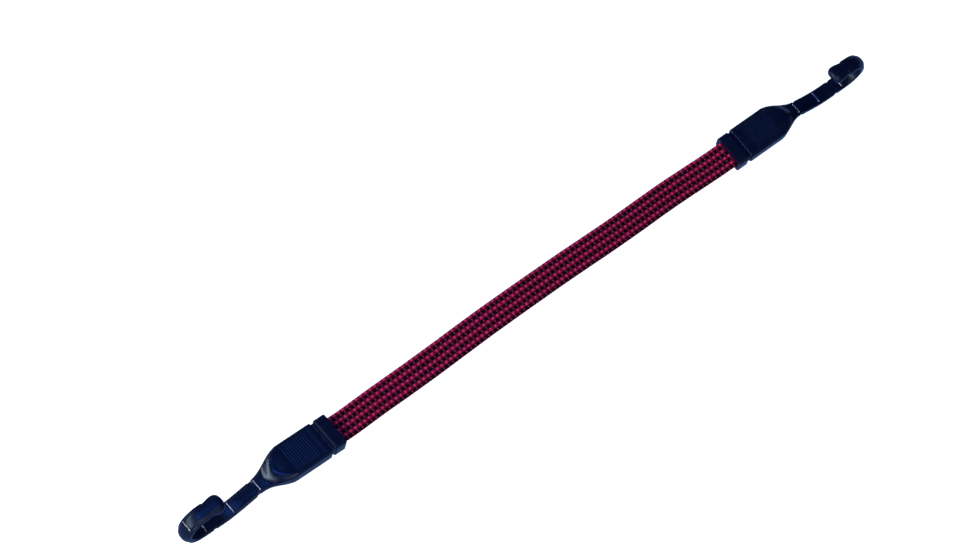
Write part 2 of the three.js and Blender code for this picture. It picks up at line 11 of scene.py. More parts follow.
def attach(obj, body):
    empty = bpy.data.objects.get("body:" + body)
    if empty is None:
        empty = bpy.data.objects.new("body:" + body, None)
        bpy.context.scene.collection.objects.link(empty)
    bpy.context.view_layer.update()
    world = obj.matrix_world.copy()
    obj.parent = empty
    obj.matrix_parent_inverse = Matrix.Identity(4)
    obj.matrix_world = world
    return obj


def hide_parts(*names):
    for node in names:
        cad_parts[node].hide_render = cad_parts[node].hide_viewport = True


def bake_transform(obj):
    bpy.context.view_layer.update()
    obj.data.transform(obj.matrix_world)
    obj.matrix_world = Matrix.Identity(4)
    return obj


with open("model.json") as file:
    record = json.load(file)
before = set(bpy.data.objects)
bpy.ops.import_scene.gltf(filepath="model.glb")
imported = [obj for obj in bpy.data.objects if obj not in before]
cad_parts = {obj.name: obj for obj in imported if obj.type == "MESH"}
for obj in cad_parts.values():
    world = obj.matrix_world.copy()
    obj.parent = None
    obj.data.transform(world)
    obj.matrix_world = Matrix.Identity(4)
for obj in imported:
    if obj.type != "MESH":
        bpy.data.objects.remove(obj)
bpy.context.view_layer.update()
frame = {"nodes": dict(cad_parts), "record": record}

bl_info = {
    "name": "Flat bungee cord",
    "version": (1, 0, 0),
    "blender": (4, 5, 0),
    "location": "View3D > Sidebar > Bungee",
    "description": "Dresses the packed model of a flat bungee cord with its weave, mouldings and steel",
    "category": "Object",
}

MM = 0.001

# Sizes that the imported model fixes. Places count along a fitting from the strap's mouth, the collar's face.
SEAT_GAP = 0.3 * MM
STRAP_WIDTH = 21 * MM
STRAP_THICKNESS = 3.4 * MM
STRAP_TAIL = 32 * MM
SLOT_WIDTH = STRAP_WIDTH + 2 * SEAT_GAP
SLOT_HEIGHT = STRAP_THICKNESS + 2 * SEAT_GAP
COLLAR_LENGTH = 8.2 * MM
COLLAR_WIDTH = SLOT_WIDTH + 4 * MM
COLLAR_HEIGHT = SLOT_HEIGHT + 9 * MM
COLLAR_CORNER = 2.4 * MM
NECK_WIDTH = SLOT_WIDTH + 2 * MM
NECK_HEIGHT = SLOT_HEIGHT + 5.6 * MM
NECK_CORNER = 1.6 * MM
MOUTH = COLLAR_LENGTH + 3.4 * MM
POCKET_WIDTH = STRAP_WIDTH + 2.4 * MM
POCKET_HEIGHT = SLOT_HEIGHT + 3.3 * MM
POCKET_END = 35.4 * MM
CHAMBER_WIDTH = 13 * MM
CHAMBER_END = 46.2 * MM
PADDLE_WIDTH = POCKET_WIDTH + 3 * MM
PADDLE_HEIGHT = POCKET_HEIGHT + 3.2 * MM
PADDLE_CORNER = 2 * MM
MOUTH_CHAMFER = 1.2 * MM
TAPER_START = MOUTH + 28.4 * MM
TAPER_END = TAPER_START + 25 * MM
THINNING_START = TAPER_START + 8 * MM
THINNING_END = THINNING_START + 12 * MM
CRANK_START = TAPER_START + 3 * MM
CRANK_LENGTH = 52.5 * MM
CRANK_DEPTH = 15 * MM
SHANK_WIDTH = 11.5 * MM
SHANK_THICKNESS = 4.8 * MM
BEND_START = CRANK_START + CRANK_LENGTH + 15.5 * MM
GAPE = 20.7 * MM
BEND_RADIUS = (GAPE + SHANK_THICKNESS) / 2
BEND_TURN = math.radians(174)
LEG_START = BEND_START + BEND_RADIUS * BEND_TURN
LEG_WIDTH = 12 * MM
BEND_BULGE = 0.8 * MM
BEAD_NECK = LEG_START + 4.5 * MM
BEAD_EARS = LEG_START + 11.5 * MM
BEAD_TIP = 5.7 * MM
BEAD_WIDTH = 13.4 * MM
BEAD_HEIGHT = 7 * MM
BEAD_CORNER = 2.6 * MM
BEAD_WAIST = 0.6 * MM
CORE_WIDTH = 9 * MM
CORE_THICKNESS = 2.4 * MM
CORE_END = LEG_START + 9 * MM
RIDGE_SLOT = 1.4 * MM
SHANK_SLOTS = [TAPER_END + lead * MM for lead in (-1, 20.2, 43)]
CROWN_SLOT_TURN = math.radians(124)
CROWN_SLOT = BEND_START + BEND_RADIUS * CROWN_SLOT_TURN
NOTCHES = [TAPER_END + lead * MM for lead in (1.6, 36.4)]
NOTCH_LENGTH = 3 * MM
NOTCH_DEPTH = 0.5 * MM
SEAT_FACET = math.radians(6)
SEAT_REACH = BEND_START + (BEND_RADIUS - SHANK_THICKNESS / 2) * math.cos(SEAT_FACET)
SEAT_RISE = BEND_RADIUS - CRANK_DEPTH

# How far each fitting lies tipped about its own length, and the way over which the strap loses that twist
ROLL_OF = {"a": math.radians(4.5), "b": 0}
TWIST_LENGTH = 90 * MM

# Middle line of the free strap from mouth to mouth, in metres
STRAP_ROUTE = [
    (-0.1795, 0.00052, 0.0072),
    (-0.168, 0.00054, 0.0059),
    (-0.154, 0.0011, 0.00455),
    (-0.139, 0.0016, 0.0034),
    (-0.122, 0.0018, 0.00255),
    (-0.1, 0.0021, 0.002),
    (-0.075, 0.00265, 0.0018),
    (-0.045, 0.0033, 0.00178),
    (-0.01, 0.00345, 0.00178),
    (0.025, 0.0033, 0.00178),
    (0.055, 0.00275, 0.00178),
    (0.08, 0.0024, 0.00182),
    (0.102, 0.00245, 0.00195),
    (0.122, 0.0024, 0.0024),
    (0.139, 0.0019, 0.0031),
    (0.154, 0.0012, 0.00405),
    (0.168, 0.00056, 0.0052),
    (0.1795, 0.00022, 0.0064),
]

# The photograph's frame and the camera that was fitted to it
FRAME_WIDTH = 978
FOCAL_PIXELS = 2460.553
SENSOR = 36
CAMERA_TARGET = Vector((-0.019273, 0.029687, 0))
CAMERA_DISTANCE = 1.706112
CAMERA_ELEVATION = math.radians(64.481)
CAMERA_AZIMUTH = math.radians(-57.913)
CAMERA_ROLL = math.radians(20.375)

# Body of each fitting, by the letter that its pieces have
BODY_OF = {"a": "near_end", "b": "far_end"}

# Turns of the rings on a rounded edge
QUARTER_TURN = np.radians(np.linspace(0, 90, 7))


class StrapSettings(bpy.types.PropertyGroup):
    """What a user may change of the strap's weave."""

    columns: IntProperty(name="Columns", description="Lengthwise yarn columns on a face", default=8)
    repeat: FloatProperty(
        name="Repeat", description="Length of one over and under",
        default=4.05 * MM, unit="LENGTH")
    warp_width: FloatProperty(
        name="Warp width", description="Width of a lengthwise yarn",
        default=2.4 * MM, unit="LENGTH")
    warp_height: FloatProperty(
        name="Warp height", description="Thickness of a lengthwise yarn",
        default=0.54 * MM, unit="LENGTH")
    weft_width: FloatProperty(
        name="Weft width", description="Width of a cross yarn",
        default=1.25 * MM, unit="LENGTH")
    weft_height: FloatProperty(
        name="Weft height", description="Thickness of a cross yarn",
        default=0.34 * MM, unit="LENGTH")
    red: FloatVectorProperty(
        name="Red yarn", description="Colour of the red columns",
        subtype="COLOR", default=(0.78, 0.022, 0.13))
    black: FloatVectorProperty(
        name="Black yarn", description="Colour of the black columns",
        subtype="COLOR", default=(0.013, 0.0008, 0.005))
    weft: FloatVectorProperty(
        name="Weft yarn", description="Colour of the cross yarns",
        subtype="COLOR", default=(0.16, 0.003, 0.028))
    binder: FloatVectorProperty(
        name="Binder yarn", description="Colour of the small stitches between black yarns",
        subtype="COLOR", default=(0.21, 0.075, 0.14))
    # Painted shade: the darker red painted on a red yarn's sides, underside and dips, standing in for their
    # shade
    painted_shade: FloatVectorProperty(
        name="Deep red", description="Colour of a red yarn's sides and dips",
        subtype="COLOR", default=(0.155, 0.001, 0.023))
    # Partly painted shade: the inner layer stands for the strap's sheath, and its near-black colour stands in
    # for the shade in the weave's pinholes
    lining: FloatVectorProperty(
        name="Lining", description="Colour of the inner layer",
        subtype="COLOR", default=(0.02, 0.006, 0.009))
    latex: FloatVectorProperty(
        name="Latex", description="Colour of the rubber strands",
        subtype="COLOR", default=(0.57, 0.43, 0.21))


class FittingSettings(bpy.types.PropertyGroup):
    """What a user may change of the moulded fittings and their steel."""

    edge: FloatProperty(
        name="Edge", description="Rounding of the collar's edges",
        default=0.15 * MM, unit="LENGTH")
    shank_corner: FloatProperty(
        name="Shank corner", description="Rounding of the shank's edges",
        default=1.2 * MM, unit="LENGTH")
    crown: FloatProperty(
        name="Crown", description="How far the shank's faces bulge",
        default=0.4 * MM, unit="LENGTH")
    bend_crown: FloatProperty(
        name="Bend crown", description="How far the outside of the bend bulges",
        default=2.2 * MM, unit="LENGTH")
    leg_crown: FloatProperty(
        name="Leg crown", description="How far the return leg's outside bulges",
        default=1 * MM, unit="LENGTH")
    panel_depth: FloatProperty(
        name="Panel depth", description="Depth of the thumb panel",
        default=0.4 * MM, unit="LENGTH")
    ribs: IntProperty(name="Ribs", description="Grooves across the thumb panel", default=13)
    rib_pitch: FloatProperty(
        name="Rib pitch", description="Distance between grooves",
        default=1.9 * MM, unit="LENGTH")
    rib_depth: FloatProperty(
        name="Rib depth", description="Depth of a groove",
        default=0.2 * MM, unit="LENGTH")
    shell: FloatVectorProperty(
        name="Shell", description="Colour of the hook's plastic",
        subtype="COLOR", default=(0.0009, 0.003, 0.017))
    collar: FloatVectorProperty(
        name="Collar", description="Colour of the collar's plastic",
        subtype="COLOR", default=(0.0011, 0.0026, 0.016))
    sheen: FloatVectorProperty(
        name="Sheen", description="Tint of the plastic's reflections",
        subtype="COLOR", default=(0.62, 0.82, 1))
    gloss: FloatProperty(
        name="Shell roughness", description="Roughness of the hook's plastic",
        default=0.22, subtype="FACTOR")
    satin: FloatProperty(
        name="Collar roughness", description="Roughness of the collar's plastic",
        default=0.36, subtype="FACTOR")
    steel: FloatVectorProperty(
        name="Steel", description="Colour of the steel cores",
        subtype="COLOR", default=(0.52, 0.52, 0.54))
    plating: FloatVectorProperty(
        name="Plating", description="Colour of the plated crimps",
        subtype="COLOR", default=(0.5, 0.48, 0.44))


class StageSettings(bpy.types.PropertyGroup):
    """What a user may change of the floor and the lights."""

    floor: FloatVectorProperty(
        name="Floor", description="Colour of the floor",
        subtype="COLOR", default=(0.86, 0.86, 0.86))
    glow: FloatProperty(name="Glow", description="Light that the floor gives off", default=1)
    side_power: FloatProperty(
        name="Side light", description="Softbox beyond the near hook",
        default=33, unit="POWER")
    top_power: FloatProperty(
        name="Top light", description="Softbox above the viewer",
        default=9, unit="POWER")
    sky_power: FloatProperty(
        name="Sky light", description="Small blue light overhead",
        default=1.9, unit="POWER")
    sky: FloatVectorProperty(
        name="Sky", description="Colour of the light overhead",
        subtype="COLOR", default=(0.06, 0.22, 1))
    air: FloatVectorProperty(
        name="Air", description="Light from all round above",
        subtype="COLOR", default=(0.02, 0.045, 0.13))
    below: FloatVectorProperty(
        name="Below", description="Light that the gloss meets below",
        subtype="COLOR", default=(0.17, 0.3, 0.66))


# Shader maths and nodes

class Wire:
    """An output of a node; arithmetic on it adds Math nodes to the same tree."""

    def __init__(self, finish, socket):
        self.finish = finish
        self.socket = socket

    def math(self, operation, first, second):
        return self.finish.node("ShaderNodeMath", {"operation": operation}, {0: first, 1: second})

    def __add__(self, other):
        return self.math("ADD", self, other)

    def __radd__(self, other):
        return self.math("ADD", other, self)

    def __sub__(self, other):
        return self.math("SUBTRACT", self, other)

    def __rsub__(self, other):
        return self.math("SUBTRACT", other, self)

    def __mul__(self, other):
        return self.math("MULTIPLY", self, other)

    def __rmul__(self, other):
        return self.math("MULTIPLY", other, self)


class Finish:
    """A material or a world under construction."""

    def __init__(self, owner):
        self.owner = owner
        owner.use_nodes = True
        self.tree = owner.node_tree
        self.tree.nodes.clear()

    def node(self, kind, settings=None, inputs=None, output=0):
        """Adds a node: its settings first, then the values or wires of its sockets."""
        node = self.tree.nodes.new(kind)
        for name, value in (settings or {}).items():
            setattr(node, name, value)
        for key, value in (inputs or {}).items():
            if isinstance(value, Wire):
                self.tree.links.new(value.socket, node.inputs[key])
            else:
                node.inputs[key].default_value = value
        return Wire(self, node.outputs[output]) if node.outputs else None

    def places(self, stretch):
        """Places on the object in metres, multiplied along each axis."""
        where = self.node("ShaderNodeTexCoord", output="Object")
        return self.node("ShaderNodeVectorMath", {"operation": "MULTIPLY"}, {0: where, 1: stretch})

    def noise(self, stretch, detail=2, rough=0.5):
        """A cloud of values round one half, as fine as stretch says, in repeats per metre."""
        inputs = {"Vector": self.places(stretch), "Scale": 1, "Detail": detail, "Roughness": rough}
        return self.node("ShaderNodeTexNoise", {"noise_dimensions": "3D"}, inputs)

    def share(self):
        """The value that the mesh holds at each point, 0 where it holds none."""
        return self.node("ShaderNodeAttribute", {"attribute_name": "share"}, output="Fac")

    def ramp(self, value, low, high):
        """The share of the way that a value lies from low to high, held between 0 and 1."""
        inputs = {"Value": value, "From Min": low, "From Max": high}
        return self.node("ShaderNodeMapRange", {"clamp": True}, inputs)

    def blend(self, share, first, second):
        """A colour between two colours; the Mix node's colours are its inputs 6 and 7 and its output 2."""
        inputs = {0: share, 6: opaque(first), 7: opaque(second)}
        return self.node("ShaderNodeMix", {"data_type": "RGBA"}, inputs, output=2)

    def bump(self, height, depth):
        """A normal that follows small heights, depth being how far 1 stands out."""
        return self.node("ShaderNodeBump", {}, {"Height": height, "Strength": 1, "Distance": depth})

    def close(self, inputs):
        """Ends the material with a principled surface that has these inputs."""
        surface = self.node("ShaderNodeBsdfPrincipled", {}, inputs)
        self.node("ShaderNodeOutputMaterial", {}, {"Surface": surface})
        return self.owner


def opaque(colour):
    """A colour with full alpha; wires pass as they are."""
    return colour if isinstance(colour, Wire) else (*colour, 1)


def scaled(colour, factor):
    """A colour with each channel times a factor."""
    return tuple(channel * factor for channel in colour)


def yarn_finish(name, colour, contrast, shine, painted_shade=None):
    """Twisted yarn: fibres of slightly different tones and a dull shine; given a shade colour, it also gets
    painted shade on its sides and dips and a painted lit top, read from the mesh's share.
    """
    finish = Finish(bpy.data.materials.new(name))
    fibres = finish.noise((350, 5200, 5200), detail=3)
    tufts = finish.noise((420, 420, 420))
    tone = finish.ramp(0.65 * fibres + 0.35 * tufts, low=0.34, high=0.66)
    base = finish.blend(tone, scaled(colour, 1 - contrast), scaled(colour, 1 + contrast))
    # Painted shade: where the mesh's share is low, on the yarn's sides and dips, the darker shade colour
    # replaces the lit colour
    if painted_shade is not None:
        base = finish.blend(finish.share(), painted_shade, base)
    return finish.close({
        "Base Color": base,
        "Roughness": 0.62 + 0.25 * tone,
        "Specular IOR Level": shine,
        "Normal": finish.bump(fibres, depth=0.06 * MM),
    })


def lining_finish(name, colour):
    """The inner layer under the yarns; its near-black colour is painted shade in the weave's pinholes."""
    finish = Finish(bpy.data.materials.new(name))
    threads = finish.noise((2600, 900, 2600))
    base = finish.blend(threads, scaled(colour, 0.5), scaled(colour, 1.6))
    return finish.close({
        "Base Color": base,
        "Roughness": 0.75 + 0.2 * threads,
        "Normal": finish.bump(threads, depth=0.1 * MM),
    })


def latex_finish(name, colour):
    """Natural rubber: a waxy cream with dusty talc on it."""
    finish = Finish(bpy.data.materials.new(name))
    talc = finish.noise((260, 900, 900), detail=3)
    dust = (0.74, 0.66, 0.5)
    base = finish.blend(finish.ramp(talc, low=0.45, high=0.75), colour, dust)
    return finish.close({
        "Base Color": base,
        "Roughness": 0.5 + 0.35 * talc,
        "Normal": finish.bump(talc, depth=0.05 * MM),
    })


def plastic_finish(name, colour, sheen, gloss, rubbed=0.14):
    """Black moulded plastic with a navy cast: fine spark grain, faint flow marks and light handling wear."""
    finish = Finish(bpy.data.materials.new(name))
    grain = finish.noise((3600, 3600, 3600))
    flow = finish.noise((60, 240, 240))
    scuffs = finish.ramp(finish.noise((900, 170, 420), detail=5, rough=0.65), low=0.58, high=0.74)
    scuffed = (0.03, 0.042, 0.07)
    shade = finish.blend(flow, scaled(colour, 0.75), scaled(colour, 1.35))
    base = finish.blend(0.1 * scuffs, shade, scuffed)
    return finish.close({
        "Base Color": base,
        "Roughness": gloss + 0.1 * (flow - 0.5) + 0.12 * scuffs + rubbed * finish.share(),
        "Specular IOR Level": 0.4,
        "Specular Tint": opaque(sheen),
        "Normal": finish.bump(grain, depth=0.012 * MM),
    })


def steel_finish(name, colour, roughness):
    """Bright metal with drawing lines along it and a few duller patches."""
    finish = Finish(bpy.data.materials.new(name))
    lines = finish.noise((90, 5200, 5200), detail=3)
    patches = finish.noise((320, 320, 320), detail=3)
    base = finish.blend(0.5 * lines + 0.5 * patches, scaled(colour, 0.72), scaled(colour, 1.25))
    return finish.close({
        "Base Color": base,
        "Metallic": 1,
        "Roughness": roughness + 0.2 * (patches - 0.4),
        "Normal": finish.bump(lines, depth=0.01 * MM),
    })


def floor_finish(name, colour, glow):
    """Plain pale paper that gives off a little light, so that it reads as white."""
    finish = Finish(bpy.data.materials.new(name))
    mottle = finish.noise((9, 9, 9))
    base = finish.blend(mottle, scaled(colour, 0.99), scaled(colour, 1.01))
    return finish.close({
        "Base Color": base,
        "Roughness": 0.9,
        "Specular IOR Level": 0.1,
        "Emission Color": opaque(colour),
        "Emission Strength": glow,
    })


# Meshes from rows of rings

class Skin:
    """Collects tubes of four-sided faces into one mesh, with a flat map of them for baked textures."""

    map_margin = 0.06

    def __init__(self, tubes=1, rows=1):
        """A skin for so many tubes, each of which lies in so many rows on the flat map."""
        self.tubes_to_come = tubes
        self.rows = rows
        self.vertices = []
        self.faces = []
        self.flat = []
        self.shares = []
        self.vertex_count = 0
        self.tubes_made = 0

    def tube(self, rings, loop=False, share=None):
        """Adds a tube through rings, an array of ring by point by axis; one that isn't a loop gets end caps.

        The share is a value from 0 to 1 at each point, which the finish can read.
        """
        if share is not None:
            self.shares.append(share.ravel())
        ring_count, sides, _ = rings.shape
        spans = ring_count if loop else ring_count - 1
        here = np.repeat(np.arange(spans), sides)
        side = np.tile(np.arange(sides), spans)
        there = (here + 1) % ring_count
        beside = (side + 1) % sides
        corners = np.stack([here * sides + side, here * sides + beside,
                            there * sides + beside, there * sides + side], axis=1) + self.vertex_count
        self.faces.extend(corners.tolist())
        self.flat.append(self.map_of(here, side, spans, sides))
        if not loop:
            first = np.arange(sides)[::-1] + self.vertex_count
            last = np.arange(sides) + self.vertex_count + (ring_count - 1) * sides
            self.faces.extend([first.tolist(), last.tolist()])
            self.flat.append(np.full((2 * sides, 2), self.flat[-1][0]))
        self.vertices.append(rings.reshape(-1, 3))
        self.vertex_count += ring_count * sides
        self.tubes_made += 1

    def map_of(self, here, side, spans, sides):
        """Flat places of a tube's faces: the tube is cut into rows, and its rows lie side by side."""
        margin = self.map_margin
        row = here * self.rows // spans
        left = here * self.rows / spans - row
        right = np.minimum(left + self.rows / spans, 1)
        bands = self.tubes_to_come * self.rows
        low = (self.tubes_made * self.rows + row + margin + (1 - 2 * margin) * side / sides) / bands
        high = low + (1 - 2 * margin) / sides / bands
        return np.stack([left, low, left, high, right, high, right, low], axis=1).reshape(-1, 2)

    def build(self, name, material):
        """Makes the object, shaded smoothly."""
        mesh = bpy.data.meshes.new(name)
        mesh.from_pydata(np.concatenate(self.vertices).tolist(), [], self.faces)
        flat = mesh.uv_layers.new(name="OFBake")
        flat.uv.foreach_set("vector", np.concatenate(self.flat).astype(np.float32).ravel())
        if self.shares:
            share = mesh.attributes.new("share", "FLOAT", "POINT")
            share.data.foreach_set("value", np.concatenate(self.shares).astype(np.float32))
        mesh.shade_smooth()
        mesh.materials.append(material)
        piece = bpy.data.objects.new(name, mesh)
        bpy.context.scene.collection.objects.link(piece)
        return piece


class Outline:
    """A rounded rectangle of any size, with a fixed number of points on its faces, sides and corners.

    A point is held as shares of two lengths: half a side less the corner (flat), and the corner (round).
    """

    def __init__(self, face_points, side_points, corner_points):
        """Sets the points out; those of a face crowd a little towards the corners."""
        spread = np.linspace(-1, 1, face_points)
        face = 0.5 * spread + 0.5 * np.sin(spread * math.pi / 2)
        side = np.linspace(-1, 1, side_points)
        turns = np.radians(np.linspace(0, 90, corner_points + 2))[1:-1]
        rows = []
        for quarter, stretch in enumerate((side, face, side, face)):
            corner = [(1, -1, math.sin(turn), -math.cos(turn)) for turn in turns]
            straight = [(1, value, 1, 0) for value in stretch]
            for row in corner + straight:
                for _ in range(quarter):
                    row = (-row[1], row[0], -row[3], row[2])
                rows.append(row)
        self.flat_across, self.flat_up, self.round_across, self.round_up = np.array(rows).T

    def points(self, width, height, corner):
        """How far across and up the points lie on rectangles of these sizes."""
        across = self.flat_across * (width / 2 - corner) + self.round_across * corner
        up = self.flat_up * (height / 2 - corner) + self.round_up * corner
        return across, up


# Places on the fittings and the strap

def smoothstep(value, start, end):
    """0 up to the start and 1 from the end on, with a soft rise between."""
    share = np.clip((value - start) / (end - start), 0, 1)
    return share * share * (3 - 2 * share)


def between(first, last, share):
    """The value at a share of the way from the first to the last."""
    return first + (last - first) * share


def fitting_place(letter):
    """Where a fitting stands, from the seat in its hook: its own three axes and the strap's mouth."""
    seats = {mount["name"]: mount for mount in frame["record"]["mounts"]}
    seat = seats[f"hook_seat_{letter}"]
    outward = -Vector(seat["axis"])
    across = Matrix.Rotation(ROLL_OF[letter], 3, outward) @ Vector((0, 0, 1)).cross(outward).normalized()
    turned = Matrix((outward, across, outward.cross(across))).transposed()
    origin = Vector(seat["pos_m"]) - turned @ Vector((SEAT_REACH, 0, SEAT_RISE))
    return np.array(turned), np.array(origin)


def on_fitting(letter, points):
    """Points of a fitting's own space, as places in the frame."""
    turned, origin = fitting_place(letter)
    return points @ turned.T + origin


def smooth_line(points, steps=40):
    """Points of a smooth curve through a few points, its knots at the roots of the distances between them."""
    points = np.array(points)
    padded = np.vstack([2 * points[0] - points[1], points, 2 * points[-1] - points[-2]])
    spans = np.linalg.norm(np.diff(padded, axis=0), axis=1) ** 0.5
    knots = np.concatenate([[0], np.cumsum(spans)])
    line = []
    for k in range(1, len(points)):
        time = np.linspace(knots[k], knots[k + 1], steps, endpoint=False)[:, None]
        row = [padded[k + j - 1][None, :] for j in range(4)]
        for level in range(1, 4):
            row = [((knots[k + j + level - 1] - time) * row[j] + (time - knots[k + j - 1]) * row[j + 1])
                   / (knots[k + j + level - 1] - knots[k + j - 1]) for j in range(len(row) - 1)]
        line.append(row[0])
    return np.vstack([*line, points[-1:]])


class StrapLine:
    """The strap's middle line from crimp to crimp, straight inside the fittings."""

    edge_power = 5
    edge_limit = 0.999

    def __init__(self):
        inside = np.array([(STRAP_TAIL * share, 0, 0) for share in (1, 0.5, 0)])
        near = on_fitting("a", inside)
        far = on_fitting("b", inside[::-1])
        self.points = smooth_line([*near, *STRAP_ROUTE[1:-1], *far])
        steps = np.linalg.norm(np.diff(self.points, axis=0), axis=1)
        self.distance = np.concatenate([[0], np.cumsum(steps)])
        self.length = self.distance[-1]
        self.ways = np.gradient(self.points, self.distance, axis=0)

    def read(self, values, along):
        """What the line's points hold, at distances along it."""
        return np.stack([np.interp(along, self.distance, values[:, k]) for k in range(3)], axis=-1)

    def places(self, along, sideways, height):
        """Places at distances along the strap, across it and above its middle; it thins towards its edges."""
        along, sideways, height = np.broadcast_arrays(along, sideways, height)
        forward = self.read(self.ways, along)
        forward /= np.linalg.norm(forward, axis=-1, keepdims=True)
        across = np.stack([-forward[..., 1], forward[..., 0], np.zeros(along.shape)], axis=-1)
        across /= np.linalg.norm(across, axis=-1, keepdims=True)
        twist = -ROLL_OF["a"] * (1 - smoothstep(along - STRAP_TAIL, 0, TWIST_LENGTH))[..., None]
        across = across * np.cos(twist) + np.cross(forward, across) * np.sin(twist)
        up = np.cross(forward, across)
        outward = np.minimum(np.abs(sideways) / (STRAP_WIDTH / 2), self.edge_limit)
        thinning = (1 - outward ** self.edge_power) ** (1 / self.edge_power)
        return (self.read(self.points, along) + sideways[..., None] * across
                + (height * thinning)[..., None] * up)


def middle_line(along):
    """Places and headings of a hook's middle line at distances from the strap's mouth."""
    share = np.clip((along - CRANK_START) / CRANK_LENGTH, 0, 1)
    turn = np.clip((along - BEND_START) / BEND_RADIUS, 0, BEND_TURN)
    leg = np.maximum(along - LEG_START, 0)
    heading = np.arctan(-6 * CRANK_DEPTH / CRANK_LENGTH * share * (1 - share)) + turn
    x = np.minimum(along, BEND_START) + BEND_RADIUS * np.sin(turn) + leg * math.cos(BEND_TURN)
    drop = -CRANK_DEPTH * share ** 2 * (3 - 2 * share)
    z = drop + BEND_RADIUS * (1 - np.cos(turn)) + leg * math.sin(BEND_TURN)
    return x, z, heading


def square_to_line(along, across, up):
    """Places of cross sections that stand square to the middle line."""
    x, z, heading = (value[:, None] for value in middle_line(along))
    return np.stack([x - up * np.sin(heading), across, z + up * np.cos(heading)], axis=-1)


# Hook shell

def both_sides(places, steps):
    """Places at some steps to either side of each place."""
    return np.concatenate([place + side * steps for place in places for side in (-1, 1)])


class ShellForm:
    """The hook's moulding as rings: from the steel's channel to the mouth, then over the skin to the tip."""

    outline = Outline(face_points=61, side_points=7, corner_points=7)

    # Inside: how many rings the bend and the shank have, and the room round the steel
    bend_rings = 30
    shank_rings = 26
    inside_corner = 0.3 * MM
    channel_room = 0.1 * MM

    # Skin: how far apart its rings stand, which is closer on the paddle
    skin_start = MOUTH + 0.75 * MOUTH_CHAMFER
    paddle_end = TAPER_START + 20 * MM
    paddle_step = 0.24 * MM
    hook_step = 0.7 * MM
    least_step = 0.02 * MM
    waist_rings = 9
    tip_turns = np.radians(np.linspace(4, 88, 22))

    # Nose: where the paddle's raised top sinks to the shank's level
    nose_length = 15 * MM
    nose_spread = 15 * MM
    nose_point = 1.5
    nose_slope = (0.55, 1.45)
    nose_entry = 0.25

    # Thumb panel and its ribs
    panel_start = MOUTH + 2.6 * MM
    panel_half = PADDLE_WIDTH / 2 - 2.2 * MM
    panel_end_length = 12 * MM
    panel_slope = 0.7 * MM
    panel_end_slope = 4 * MM
    panel_slope_change = 0.5
    panel_entry = 0.2
    rib_start = MOUTH + 5 * MM
    rib_half_width = 0.75 * MM

    # Bend, leg and bead
    bend_proud = 0.4 * MM
    crest_turns = (0.55 * math.pi, 0.92 * math.pi)
    dome_power = 3
    tip_power = 2.5

    # Slots, notches and the line where the mould parts
    slot_floor = 1.5 * MM
    slot_slope = 0.1 * MM
    slot_steps = RIDGE_SLOT / 2 + np.array([-0.2, -0.08, 0, 0.08, 0.2]) * MM
    notch_slope = 0.15 * MM
    parting_line = 0.06 * MM

    # Wear: the way over which the rubbed hook sets in, and where in its rounded end the panel's wear fades
    rub_fade = 8 * MM
    panel_rub = 0.6

    def __init__(self, settings):
        self.settings = settings

    def rings(self):
        return np.concatenate([self.inside(), self.lip(), self.skin()])

    def rubbed(self):
        """How matt each ring is: the hook is rubbed by what it hangs on, and the panel by thumbs."""
        plain = np.zeros(len(self.inside()) + len(self.lip()))
        along = self.stations()
        hook = smoothstep(along, SHANK_SLOTS[1] - self.rub_fade, SHANK_SLOTS[1])
        end = self.panel_end_length
        panel = 1 - smoothstep(along - TAPER_START, self.panel_rub * end, end)
        return np.concatenate([plain, hook + panel])

    def plain_ring(self, along, width, height, corner):
        """Rings of a plain rounded rectangle at distances along the middle line."""
        sizes = (np.broadcast_to(value, along.shape)[:, None] for value in (width, height, corner))
        return square_to_line(along, *self.outline.points(*sizes))

    def inside(self):
        """The steel's channel, the rivet's chamber and the strap's pocket, from the deepest point out."""
        channel = np.concatenate([
            np.linspace(CORE_END + SEAT_GAP, BEND_START, self.bend_rings),
            np.linspace(BEND_START, CHAMBER_END, self.shank_rings)[1:],
        ])
        room = 2 * self.channel_room
        stretches = [
            (channel, CORE_WIDTH + room, CORE_THICKNESS + room),
            (np.array([CHAMBER_END, POCKET_END]), CHAMBER_WIDTH, POCKET_HEIGHT),
            (np.array([POCKET_END, MOUTH]), POCKET_WIDTH, POCKET_HEIGHT),
        ]
        return np.concatenate([self.plain_ring(*stretch, self.inside_corner) for stretch in stretches])

    def lip(self):
        """The flat mouth and its rounded outer edge."""
        radius = MOUTH_CHAMFER / 2
        inset = 2 * radius * (1 - np.sin(QUARTER_TURN))
        along = MOUTH + radius * (1 - np.cos(QUARTER_TURN))
        return self.plain_ring(along, PADDLE_WIDTH - inset, PADDLE_HEIGHT - inset, PADDLE_CORNER)

    def stations(self):
        """Distances along the skin, close together where something small has to show."""
        paddle = np.arange(self.skin_start, self.paddle_end, self.paddle_step)
        hook = np.arange(paddle[-1], BEAD_EARS, self.hook_step)
        slots = [*SHANK_SLOTS, CROWN_SLOT]
        slot_edges = both_sides(slots, self.slot_steps)
        notch_edges = both_sides(NOTCHES, NOTCH_LENGTH / 2 + np.array([-1, 0, 1]) * self.notch_slope)
        waist = np.linspace(BEAD_NECK - BEAD_WAIST, BEAD_NECK, self.waist_rings)
        tip = BEAD_EARS + BEAD_TIP * np.sin(self.tip_turns)
        everything = np.sort(np.concatenate([paddle, hook, slots, slot_edges, notch_edges, waist, tip]))
        return everything[np.concatenate([[True], np.diff(everything) > self.least_step])]

    def plateau(self, along, across):
        """How far the paddle's raised top has sunk to the shank's level: 0 on the paddle, 1 past its nose."""
        ahead = np.maximum(along - TAPER_START, 0) / self.nose_length
        sideways = np.abs(across) / self.nose_spread
        reach = ahead ** self.nose_point + sideways ** self.nose_point
        return smoothstep(reach, *self.nose_slope) * smoothstep(ahead, 0, self.nose_entry)

